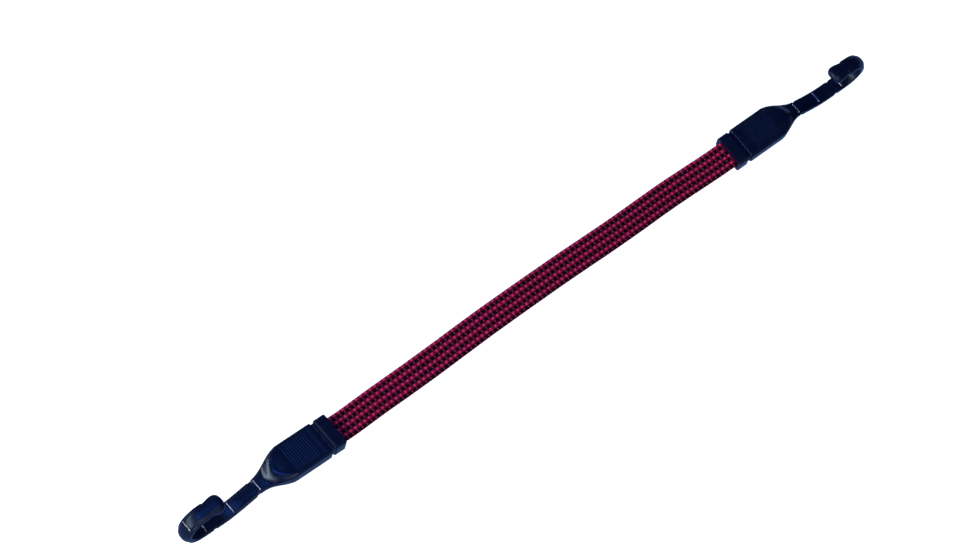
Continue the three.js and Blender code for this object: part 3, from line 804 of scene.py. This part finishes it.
    def panel(self, along, across):
        """Depth of the thumb panel and its grooves."""
        settings = self.settings
        ahead = np.maximum(along - TAPER_START, 0) / self.panel_end_length
        reach = np.sqrt(ahead ** 2 + (across / self.panel_half) ** 2)
        inside = np.minimum((1 - reach) * self.panel_half, self.panel_entry * (along - self.panel_start))
        slope = between(self.panel_slope, self.panel_end_slope, smoothstep(ahead, 0, self.panel_slope_change))
        depth = settings.panel_depth * smoothstep(inside, 0, slope)
        number = np.clip(np.round((along - self.rib_start) / settings.rib_pitch), 0, settings.ribs - 1)
        offset = np.abs(along - self.rib_start - number * settings.rib_pitch) / self.rib_half_width
        groove = 0.5 + 0.5 * np.cos(math.pi * np.clip(offset, 0, 1))
        ribbed = smoothstep(inside, self.panel_slope, 2 * self.panel_slope)
        return depth + settings.rib_depth * groove * ribbed

    def slot(self, along, across, places):
        """1 in the slots that the steel's ridges stand in, 0 elsewhere."""
        share = np.zeros(np.broadcast(along, across).shape)
        ends = 1 - smoothstep(np.abs(across), CORE_WIDTH / 2 - self.slot_slope, CORE_WIDTH / 2)
        for place in places:
            away = np.abs(along - place)
            sides = 1 - smoothstep(away, RIDGE_SLOT / 2 - self.slot_slope, RIDGE_SLOT / 2)
            share = np.maximum(share, sides * ends)
        return share

    def notch(self, along):
        """Depth of the notches in the shank's edges."""
        depth = np.zeros(along.shape)
        for place in NOTCHES:
            away = np.abs(along - place)
            sides = 1 - smoothstep(away, NOTCH_LENGTH / 2 - self.notch_slope, NOTCH_LENGTH / 2)
            depth = depth + NOTCH_DEPTH * sides
        return depth

    def sections(self, along):
        """Width, corner, top, bottom and the bulges of both faces, at distances along the skin."""
        settings = self.settings
        taper = smoothstep(along, TAPER_START, TAPER_END)
        thin = smoothstep(along, THINNING_START, THINNING_END)
        turn = np.clip((along - BEND_START) / BEND_RADIUS, 0, math.pi)
        bend = np.sin(turn) ** 2
        leg = smoothstep(turn, 0, math.pi / 2)
        crest = smoothstep(turn, *self.crest_turns)
        waist = smoothstep(along, BEAD_NECK - BEAD_WAIST, BEAD_NECK)
        ear = smoothstep(along, BEAD_NECK, BEAD_EARS)
        past = np.clip((along - BEAD_EARS) / BEAD_TIP, 0, 1)
        dome = (1 - past ** self.tip_power) ** (1 / self.tip_power)
        width = between(between(PADDLE_WIDTH, SHANK_WIDTH, taper), LEG_WIDTH, leg)
        width = between(width - 2 * self.notch(along) - 2 * BEAD_WAIST * waist, BEAD_WIDTH, ear) * dome
        corner = between(between(PADDLE_CORNER, settings.shank_corner, taper), BEAD_CORNER, ear) * dome
        inner_crown = settings.crown * taper * (1 - ear)
        outer_crown = settings.crown * taper + (settings.bend_crown - settings.crown) * bend
        outer_crown = dome * (outer_crown + (settings.leg_crown - settings.crown) * crest)
        inset = (BEAD_HEIGHT - SHANK_THICKNESS) / 2 * ear
        bead = BEAD_HEIGHT / 2 * dome
        bottom = between(between(PADDLE_HEIGHT, SHANK_THICKNESS, thin) / 2, bead, ear) - inset
        bottom = bottom + (BEND_BULGE + self.bend_proud) * bend
        sunk = self.plateau(along, width / 2)
        top = between(between(PADDLE_HEIGHT, SHANK_THICKNESS, sunk) / 2, bead, ear) + inset
        return width, corner, top, bottom, inner_crown, outer_crown

    def skin(self):
        """The outer surface from the mouth to the tip of the bead."""
        line = self.outline
        stations = self.stations()
        along = stations[:, None]
        width, corner, top, bottom, inner_crown, outer_crown = self.sections(along)
        across = line.flat_across * (width / 2 - corner) + line.round_across * corner
        low = outer_crown + corner - bottom
        high = top - inner_crown - corner
        up = between(low, high, (line.flat_up + 1) / 2) + line.round_up * corner
        bulge = 1 - np.abs(line.flat_across) ** self.dome_power
        less_sunk = self.plateau(along, width / 2) - self.plateau(along, across)
        raised = (PADDLE_HEIGHT - SHANK_THICKNESS) / 2 * less_sunk
        inner = up + inner_crown * bulge + raised - self.panel(along, across)
        inner = between(inner, self.slot_floor, self.slot(along, across, SHANK_SLOTS))
        outer = between(up - outer_crown * bulge, -self.slot_floor, self.slot(along, across, [CROWN_SLOT]))
        up = np.where(line.round_up == 1, inner, np.where(line.round_up == -1, outer, up))
        seam = (np.abs(line.round_across) == 1) & np.isclose(line.flat_up, 0)
        across = across + np.where(seam, self.parting_line * np.sign(line.flat_across), 0)
        return square_to_line(stations, across, up)


# Mouth collar

class CollarForm:
    """The collar as a closed loop of rings: in at the strap's slot, over the band and back along the neck."""

    outline = Outline(face_points=25, side_points=7, corner_points=7)
    slot_rings = 5
    slot_corner = 0.5 * MM
    entry = 0.7 * MM
    fillet = 0.5 * MM
    band_shares = (0.2, 0.5, 0.8)

    def __init__(self, settings):
        self.edge = settings.edge

    def profile(self):
        """Distance along the fitting, width, height and corner of each ring."""
        neck_end = MOUTH - SEAT_GAP
        rows = [(along, SLOT_WIDTH, SLOT_HEIGHT, self.slot_corner)
                for along in np.linspace(neck_end, 2 * self.entry, self.slot_rings)]
        for turn in QUARTER_TURN:
            grow = 2 * self.entry * (1 - math.cos(turn))
            along = self.entry * (1 - math.sin(turn))
            rows.append((along, SLOT_WIDTH + grow, SLOT_HEIGHT + grow, self.slot_corner + grow / 4))
        for turn in QUARTER_TURN:
            rows.append(self.band(self.edge * (1 - math.cos(turn)), 1 - math.sin(turn)))
        for share in self.band_shares:
            rows.append(self.band(between(self.edge, COLLAR_LENGTH - self.edge, share), 0))
        for turn in QUARTER_TURN:
            rows.append(self.band(COLLAR_LENGTH - self.edge * (1 - math.sin(turn)), 1 - math.cos(turn)))
        for turn in QUARTER_TURN:
            rows.append(self.neck(COLLAR_LENGTH + self.fillet * (1 - math.cos(turn)), 1 - math.sin(turn)))
        for turn in QUARTER_TURN:
            rows.append(self.neck(neck_end - self.fillet * (1 - math.sin(turn)), math.cos(turn) - 1))
        return np.array(rows).T

    def band(self, along, inset):
        """A ring of the band, drawn in by a share of its rounded edge."""
        shrink = 2 * self.edge * inset
        return along, COLLAR_WIDTH - shrink, COLLAR_HEIGHT - shrink, COLLAR_CORNER - shrink / 4

    def neck(self, along, outset):
        """A ring of the neck, let out by a share of its fillet."""
        grow = 2 * self.fillet * outset
        return along, NECK_WIDTH + grow, NECK_HEIGHT + grow, NECK_CORNER + grow / 4

    def rings(self):
        along, width, height, corner = (value[:, None] for value in self.profile())
        across, up = self.outline.points(width, height, corner)
        return np.stack([np.broadcast_to(along, across.shape), across, up], axis=-1)


# Strap

class Weave:
    """Plain weave of one face: lengthwise yarns that dip under every other cross yarn."""

    # Points round and along the yarns, and a lengthwise yarn's rows on the flat map
    warp_sides = 12
    weft_sides = 8
    steps_per_repeat = 14
    steps_per_column = 6
    binder_steps = 7
    map_rows = 16

    # Heights above the strap's middle, and how far the yarns rise and dip from them
    warp_level = 1.2 * MM
    warp_lift = 0.2 * MM
    weft_level = 1.165 * MM
    weft_lift = 0.255 * MM
    binder_level = 1.48 * MM
    binder_arch = 0.14 * MM

    # A stitch's sizes, and the share of its reach at which its last rings stand
    binder_reach = 0.62 * MM
    binder_half_length = 0.42 * MM
    binder_half_height = 0.15 * MM
    binder_end = 0.95

    # How far the yarns reach across the strap and into a fitting, and by what share the repeat is shifted
    weft_reach = 0.492 * STRAP_WIDTH
    end_in_fitting = 22 * MM
    lead = 0.15

    # How yarns swell where they rise, and stray from their places
    width_swell = 0.15
    height_swell = 0.12
    wander = 0.07 * MM
    wander_lengths = (5 * MM, 13 * MM, 31 * MM)
    weft_slant = 0.05 * MM
    slant_length = 7 * MM
    binder_shift = 0.06 * MM
    seeds = {1: 11, -1: 23}

    # Painted light and shade of the red yarns: rise at which a yarn's painted shade begins to give way to its
    # painted lit top, and at which it has given way
    painted_light_rise = (-0.5, 0.7)

    def __init__(self, line, settings, face):
        self.line = line
        self.settings = settings
        self.face = face
        pitch = STRAP_WIDTH / settings.columns
        self.centres = (np.arange(settings.columns) - (settings.columns - 1) / 2) * pitch
        pairs = (np.arange(settings.columns) + 1) // 2 % 2
        self.phases = 0.5 - 0.5 * pairs if face > 0 else 0.5 * pairs
        self.start = self.end_in_fitting
        self.end = line.length - self.end_in_fitting
        self.middle = line.length / 2 - self.lead * settings.repeat
        count = int((self.end - self.middle) / settings.repeat * 2)
        self.picks = self.middle + np.arange(-count, count + 1) * settings.repeat / 2
        self.weft_turns = np.linspace(0, 2 * math.pi, self.weft_sides, endpoint=False)
        self.random = np.random.default_rng(self.seeds[face])

    def rise(self, along, phase):
        """How high a lengthwise yarn rides: 1 over a cross yarn, -1 under one."""
        return np.cos(2 * math.pi * ((along - self.middle) / self.settings.repeat - phase))

    def warps(self, columns):
        """A skin with the lengthwise yarns of some columns."""
        skin = Skin(tubes=len(columns), rows=self.map_rows)
        repeats = round((self.end - self.start) / self.settings.repeat)
        along = np.linspace(self.start, self.end, repeats * self.steps_per_repeat + 1)
        angles = np.linspace(0, 2 * math.pi, self.warp_sides, endpoint=False)
        waves = len(self.wander_lengths)
        for column in columns:
            wave = self.rise(along, self.phases[column])
            shift = self.random.uniform(0, 2 * math.pi, waves)
            drift = sum(np.sin(along / length + start) for length, start in zip(self.wander_lengths, shift))
            half_width = self.settings.warp_width / 2 * (1 - self.width_swell + self.width_swell * wave)
            half_height = self.settings.warp_height / 2 * (1 + self.height_swell * wave)
            level = self.warp_level + self.warp_lift * wave
            middle = self.centres[column] + self.wander / waves * drift
            middle = np.clip(middle, half_width - STRAP_WIDTH / 2, STRAP_WIDTH / 2 - half_width)
            sideways = middle[:, None] + half_width[:, None] * np.cos(angles)
            height = level[:, None] + half_height[:, None] * np.sin(angles)
            rings = self.line.places(along[:, None], sideways, self.face * height)
            # Painted light and shade: 1 on the upper half of a yarn where it rides over a cross yarn, falling
            # to 0 on its sides, underside and dips, where the red yarn gets its painted shade colour
            painted_light_share = smoothstep(wave, *self.painted_light_rise)[:, None] * np.maximum(np.sin(angles), 0)
            skin.tube(rings[:, ::self.face], share=painted_light_share[:, ::self.face])
        return skin

    def wefts(self):
        """A skin with the cross yarns."""
        skin = Skin(tubes=len(self.picks))
        steps = self.settings.columns * self.steps_per_column
        sideways = np.linspace(-self.weft_reach, self.weft_reach, steps + 1)
        for pick in self.picks:
            over = self.rise(pick, self.phases)
            wave = np.sin(np.interp(sideways, self.centres, over) * math.pi / 2)
            level = self.weft_level - self.weft_lift * wave
            slant = self.random.normal(0, self.weft_slant) * np.sin(sideways / self.slant_length)
            along = pick + slant[:, None] + self.settings.weft_width / 2 * np.cos(self.weft_turns)
            height = level[:, None] + self.settings.weft_height / 2 * np.sin(self.weft_turns)
            skin.tube(self.line.places(along, sideways[:, None], self.face * height)[:, ::-self.face])
        return skin

    def binders(self, columns):
        """A skin with the small stitches that hold some columns down in their dips."""
        spots = [(pick, column) for pick in self.picks for column in columns
                 if self.rise(pick, self.phases[column]) < 0]
        skin = Skin(tubes=len(spots))
        share = np.linspace(-self.binder_end, self.binder_end, self.binder_steps)[:, None]
        full = np.sqrt(1 - share ** 2)
        for pick, column in spots:
            shift = self.random.normal(0, self.binder_shift, 2)
            along = pick + shift[0] + self.binder_half_length * full * np.cos(self.weft_turns)
            sideways = self.centres[column] + shift[1] + self.binder_reach * share
            height = self.binder_level - self.binder_arch * share ** 2
            height = height + self.binder_half_height * full * np.sin(self.weft_turns)
            skin.tube(self.line.places(along, sideways, self.face * height)[:, ::-self.face])
        return skin


def flat_tube(line, centre, half_width, half_height, start, sides, rings, squareness=1):
    """A soft flat tube along the strap, level with its middle; below 1, squareness fills its corners."""
    along = np.linspace(start, line.length - start, rings)[:, None]
    angles = np.linspace(0, 2 * math.pi, sides, endpoint=False)
    across, up = (np.sign(value) * np.abs(value) ** squareness for value in (np.cos(angles), np.sin(angles)))
    return line.places(along, centre + half_width * across, half_height * up)


def stretches_with_cord(piece):
    """Bakes a piece's place into its mesh."""
    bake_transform(piece)


# Operators, in the order in which they are called

class BUNGEE_OT_stage(bpy.types.Operator):
    """Sets up the floor, the lights and the camera at the photograph's viewing angle"""

    bl_idname = "bungee.stage"
    bl_label = "Stage"

    # Half the floor's side, the softboxes' places and sizes in metres, and how soft the horizon is
    floor_half = 12
    side_place = (-1.43, 0.4, 0.94)
    side_size = (3.2, 0.3)
    top_place = (-0.35, -1.15, 1.5)
    top_size = (1.3, 0.9)
    sky_place = (-0.27, 0.18, 0.82)
    sky_size = (0.22, 0.22)
    horizon = 0.15

    def execute(self, context):
        scene = context.scene
        settings = scene.bungee_stage
        self.camera(scene)
        self.floor(settings)
        self.softbox("side_light", self.side_place, self.side_size, settings.side_power)
        self.softbox("top_light", self.top_place, self.top_size, settings.top_power)
        self.softbox("sky_light", self.sky_place, self.sky_size, settings.sky_power, settings.sky)
        scene.world = self.air(settings)
        scene.view_settings.view_transform = "Standard"
        return {"FINISHED"}

    def camera(self, scene):
        """Stands the camera where the photograph was taken from."""
        level = math.cos(CAMERA_ELEVATION)
        back = Vector((math.sin(CAMERA_AZIMUTH) * level, -math.cos(CAMERA_AZIMUTH) * level,
                       math.sin(CAMERA_ELEVATION)))
        right = Vector((math.cos(CAMERA_AZIMUTH), math.sin(CAMERA_AZIMUTH), 0))
        up = back.cross(right)
        rolled_right = right * math.cos(CAMERA_ROLL) + up * math.sin(CAMERA_ROLL)
        rolled_up = up * math.cos(CAMERA_ROLL) - right * math.sin(CAMERA_ROLL)
        data = bpy.data.cameras.new("photo_camera")
        data.sensor_fit = "HORIZONTAL"
        data.sensor_width = SENSOR
        data.lens = FOCAL_PIXELS * SENSOR / FRAME_WIDTH
        camera = bpy.data.objects.new("photo_camera", data)
        turned = Matrix((rolled_right, rolled_up, back)).transposed()
        camera.matrix_world = Matrix.Translation(CAMERA_TARGET + back * CAMERA_DISTANCE) @ turned.to_4x4()
        scene.collection.objects.link(camera)
        scene.camera = camera

    def floor(self, settings):
        """Lays the paper floor, which the gloss of the mouldings doesn't mirror."""
        half = self.floor_half
        mesh = bpy.data.meshes.new("studio_floor")
        corners = [(-half, -half, 0), (half, -half, 0), (half, half, 0), (-half, half, 0)]
        mesh.from_pydata(corners, [], [(0, 1, 2, 3)])
        mesh.materials.append(floor_finish("studio_paper", settings.floor, settings.glow))
        floor = bpy.data.objects.new("studio_floor", mesh)
        floor.visible_glossy = False
        bpy.context.scene.collection.objects.link(floor)

    def air(self, settings):
        """Dim light from above and a bluer one from below, which only the gloss of the mouldings meets."""
        air = Finish(bpy.data.worlds.new("studio_air"))
        height = air.node("ShaderNodeSeparateXYZ", {}, {0: air.node("ShaderNodeTexCoord")}, output="Z")
        share = air.ramp(height, low=-self.horizon, high=self.horizon)
        colour = air.blend(share, settings.below, settings.air)
        light = air.node("ShaderNodeBackground", {}, {"Color": colour})
        air.node("ShaderNodeOutputWorld", {}, {"Surface": light})
        return air.owner

    def softbox(self, name, place, size, power, colour=(1, 1, 1)):
        """Hangs a light that faces the middle of the floor."""
        data = bpy.data.lights.new(name, "AREA")
        data.shape = "RECTANGLE"
        data.size, data.size_y = size
        data.energy = power
        data.color = colour
        light = bpy.data.objects.new(name, data)
        light.location = place
        light.visible_camera = False
        light.rotation_euler = (-Vector(place)).to_track_quat("-Z", "Y").to_euler()
        bpy.context.scene.collection.objects.link(light)


class BUNGEE_OT_strap(bpy.types.Operator):
    bl_idname = "bungee.strap"
    bl_label = "Strap"

    lining_half_width = STRAP_WIDTH / 2 - 0.3 * MM
    lining_half_height = 0.72 * MM
    lining_squareness = 0.35
    lining_rows = 16
    strand_count = 8
    strand_room = STRAP_WIDTH - 3.4 * MM
    strand_pitch = strand_room / strand_count
    strand_half_width = 0.42 * strand_pitch
    strand_half_height = 0.58 * MM
    path_step = 8

    def execute(self, context):
        settings = context.scene.bungee_strap
        line = StrapLine()
        lining = self.lining(line, settings)
        others = [self.strands(line, settings), *self.yarns(line, settings)]
        for piece in (lining, *others):
            stretches_with_cord(piece)
        return {"FINISHED"}

    def lining(self, line, settings):
        """The dark layer under the yarns, in place of the strap's sheath, which it hides."""
        skin = Skin(rows=self.lining_rows)
        skin.tube(flat_tube(line, 0, self.lining_half_width, self.lining_half_height, start=0, sides=48,
                            rings=220, squareness=self.lining_squareness))
        piece = skin.build("strap_lining", lining_finish("dark_lining", settings.lining))
        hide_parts("strap_sheath")
        return piece

    def strands(self, line, settings):
        """The rubber that does the stretching, side by side inside the lining."""
        skin = Skin(tubes=self.strand_count)
        for index in range(self.strand_count):
            centre = (index - (self.strand_count - 1) / 2) * self.strand_pitch
            skin.tube(flat_tube(line, centre, self.strand_half_width, self.strand_half_height, start=SEAT_GAP,
                                sides=12, rings=140))
        piece = skin.build("rubber_strands", latex_finish("natural_latex", settings.latex))
        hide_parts(*(f"rubber_strand_{index + 1}" for index in range(self.strand_count)))
        return piece

    def yarns(self, line, settings):
        """The yarns of both faces, one piece for each colour on each face."""
        red = yarn_finish("red_yarn", settings.red, contrast=0.22, shine=0.25, painted_shade=settings.painted_shade)
        black = yarn_finish("black_yarn", settings.black, contrast=0.5, shine=0.02)
        weft = yarn_finish("weft_yarn", settings.weft, contrast=0.35, shine=0.1)
        binder = yarn_finish("binder_yarn", settings.binder, contrast=0.3, shine=0.2)
        pieces = []
        for side, face in (("upper", 1), ("under", -1)):
            weave = Weave(line, settings, face)
            columns = range(settings.columns)
            pieces.append(weave.warps(columns[1::2]).build(f"red_warp_{side}", red))
            pieces.append(weave.warps(columns[0::2]).build(f"black_warp_{side}", black))
            pieces.append(weave.wefts().build(f"weft_{side}", weft))
            pieces.append(weave.binders(columns[0::2]).build(f"binder_{side}", binder))
        return pieces


class BUNGEE_OT_hook_shells(bpy.types.Operator):
    """Makes the two moulded hook shells"""

    bl_idname = "bungee.hook_shells"
    bl_label = "Hook shells"

    def execute(self, context):
        settings = context.scene.bungee_fitting
        plastic = plastic_finish("shell_plastic", settings.shell, settings.sheen, settings.gloss)
        form = ShellForm(settings)
        rings = form.rings()
        rubbed = np.broadcast_to(form.rubbed()[:, None], rings.shape[:2])
        for letter, body in BODY_OF.items():
            skin = Skin()
            skin.tube(on_fitting(letter, rings), share=rubbed)
            piece = skin.build(f"moulded_hook_{letter}", plastic)
            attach(piece, body)
            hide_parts(f"hook_shell_{letter}")
        return {"FINISHED"}


class BUNGEE_OT_mouth_collars(bpy.types.Operator):
    """Makes the two collars that the strap comes out of"""

    bl_idname = "bungee.mouth_collars"
    bl_label = "Mouth collars"

    def execute(self, context):
        settings = context.scene.bungee_fitting
        plastic = plastic_finish("collar_plastic", settings.collar, settings.sheen, settings.satin)
        rings = CollarForm(settings).rings()
        for letter, body in BODY_OF.items():
            skin = Skin()
            skin.tube(on_fitting(letter, rings), loop=True)
            piece = skin.build(f"moulded_collar_{letter}", plastic)
            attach(piece, body)
            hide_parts(f"mouth_collar_{letter}")
        return {"FINISHED"}


class BUNGEE_OT_steel(bpy.types.Operator):
    """Gives the steel cores, the crimps and the rivets their metal"""

    bl_idname = "bungee.steel"
    bl_label = "Steel"

    def execute(self, context):
        settings = context.scene.bungee_fitting
        bright = steel_finish("bright_steel", settings.steel, roughness=0.36)
        plated = steel_finish("zinc_plate", settings.plating, roughness=0.42)
        for letter in BODY_OF:
            for node, metal in (("steel_core", bright), ("strap_crimp", plated), ("core_rivet", plated)):
                for slot in frame["nodes"][f"{node}_{letter}"].material_slots:
                    slot.material = metal
        return {"FINISHED"}


GROUPS = {"bungee_strap": StrapSettings, "bungee_fitting": FittingSettings, "bungee_stage": StageSettings}
STEPS = (BUNGEE_OT_stage, BUNGEE_OT_strap, BUNGEE_OT_hook_shells, BUNGEE_OT_mouth_collars, BUNGEE_OT_steel)


class BUNGEE_PT_sidebar(bpy.types.Panel):
    """Lists the steps and the settings in the 3D view's sidebar"""

    bl_idname = "BUNGEE_PT_sidebar"
    bl_label = "Bungee cord"
    bl_space_type = "VIEW_3D"
    bl_region_type = "UI"
    bl_category = "Bungee"

    def draw(self, context):
        for step in STEPS:
            self.layout.operator(step.bl_idname)
        for name, group in GROUPS.items():
            box = self.layout.box()
            for setting in group.__annotations__:
                box.prop(getattr(context.scene, name), setting)


CLASSES = (*GROUPS.values(), *STEPS, BUNGEE_PT_sidebar)


def register():
    for item in CLASSES:
        bpy.utils.register_class(item)
    for name, group in GROUPS.items():
        setattr(bpy.types.Scene, name, PointerProperty(type=group))


def unregister():
    for name in GROUPS:
        delattr(bpy.types.Scene, name)
    for item in reversed(CLASSES):
        bpy.utils.unregister_class(item)


def main():
    """Makes every piece."""
    register()
    bpy.ops.bungee.stage()
    bpy.ops.bungee.strap()
    bpy.ops.bungee.hook_shells()
    bpy.ops.bungee.mouth_collars()
    bpy.ops.bungee.steel()


if __name__ == "__main__":
    main()
